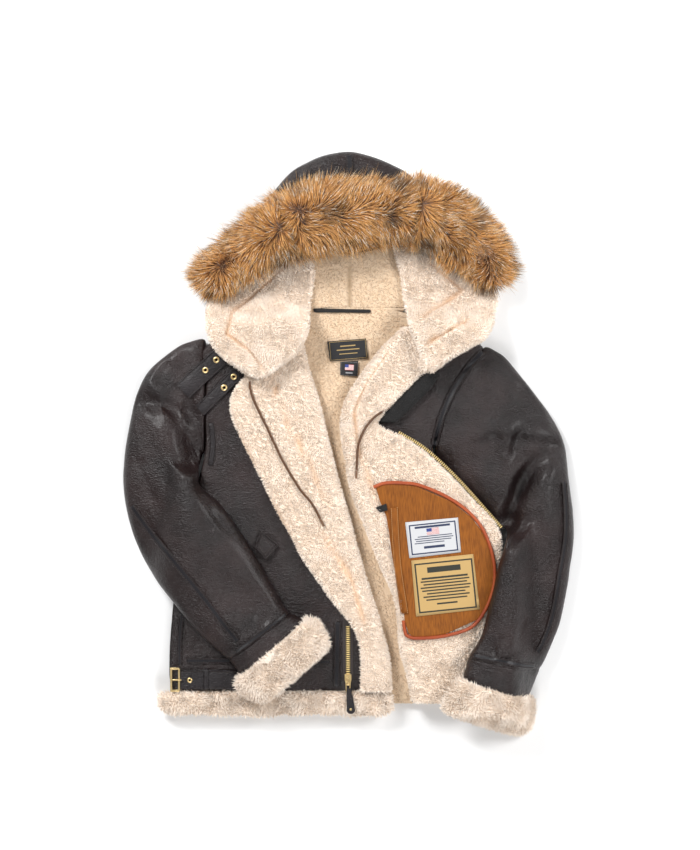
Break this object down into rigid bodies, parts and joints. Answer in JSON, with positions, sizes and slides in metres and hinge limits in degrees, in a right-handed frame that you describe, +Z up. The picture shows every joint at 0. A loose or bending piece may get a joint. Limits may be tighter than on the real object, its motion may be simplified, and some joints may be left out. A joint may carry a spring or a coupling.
{
  "type": "shearling coat",
  "caption": "Hooded shearling flying coat laid on its back with the fronts folded open, a fur-edged hood, belted collar, zip front and fur cuffs and hem.",
  "frame": {"origin": "on the back panel's flat underside, on the coat's centre-back line, 268.6 mm below the neck seam", "axes": "+Z up from the surface the coat lies on, +Y from hem to hood, +X towards the wearer's left"},
  "size_m": [0.7484, 0.9681, 0.1019],
  "materials": {
    "hide": "glossy waxed sheepskin, grained",
    "seam_tape": "dark cowhide tape",
    "pile": "cream sheepskin pile",
    "lining_pile": "short tan pile lining",
    "black_pile": "black wool",
    "ruff_fur": "long banded fur",
    "pocket_hide": "russet hide with a vertical grain",
    "binding": "red-brown edge binding",
    "brass": "satin brass",
    "label_white": "woven white label with a navy border",
    "label_ochre": "woven ochre label with a dark border",
    "label_black": "woven black satin label",
    "lace": "waxed brown lace"
  },
  "bodies": {
    "coat": {"back_panel": "lining_pile", "front_right": "hide", "front_left": "hide", "hem_fur_right": "pile", "sleeve_right": "hide", "sleeve_left": "hide", "cuff_band_right": "hide", "cuff_band_left": "hide", "cuff_fur_right": "pile", "cuff_fur_left": "pile", "hood_shell": "hide", "hood_side_right": "pile", "hood_side_left": "pile", "ruff_right": "ruff_fur", "ruff_top": "ruff_fur", "ruff_left": "ruff_fur", "collar_wool": "black_pile", "hanger_strip": "black_pile", "tape_sleeve_right": "seam_tape", "tape_cuff_right": "seam_tape", "tape_cuff_left": "seam_tape", "tape_armhole_left": "seam_tape", "tape_sleeve_left": "seam_tape", "tape_hem_right": "seam_tape", "tape_front_right": "seam_tape", "tape_side_right": "seam_tape", "tape_hood": "seam_tape", "collar_strap_upper": "hide", "collar_strap_lower": "hide", "eyelet_1": "brass", "eyelet_2": "brass", "eyelet_3": "brass", "eyelet_4": "brass", "strap_loop": "hide", "waist_strap": "hide", "waist_keeper": "hide", "waist_buckle": "brass", "waist_prong": "brass", "waist_eyelet": "brass", "pocket_flap_tab": "hide", "zip_tape_right": "seam_tape", "zip_chain_right": "brass", "zip_tape_left": "seam_tape", "zip_chain_left": "brass", "zip_slider": "brass", "pocket_panel": "pocket_hide", "pocket_binding": "binding", "pocket_welt": "pocket_hide", "pocket_loop": "black_pile", "label_white": "label_white", "label_ochre": "label_ochre", "neck_label": "label_black", "size_label": "label_black", "drawcord_right": "lace", "drawcord_left": "lace", "aglet_right": "lace", "aglet_left": "lace"},
    "zip_pull": {"zip_pull_link": "brass", "zip_pull_leather": "hide", "zip_pull_stud": "brass"}
  },
  "joints": [
    {"name": "zip_pull_hinge", "type": "hinge", "parent": "coat", "child": "zip_pull", "pos_m": [0.005, -0.35, 0.0378], "axis": [-1, 0, 0], "range_deg": [0, 150]}
  ]
}
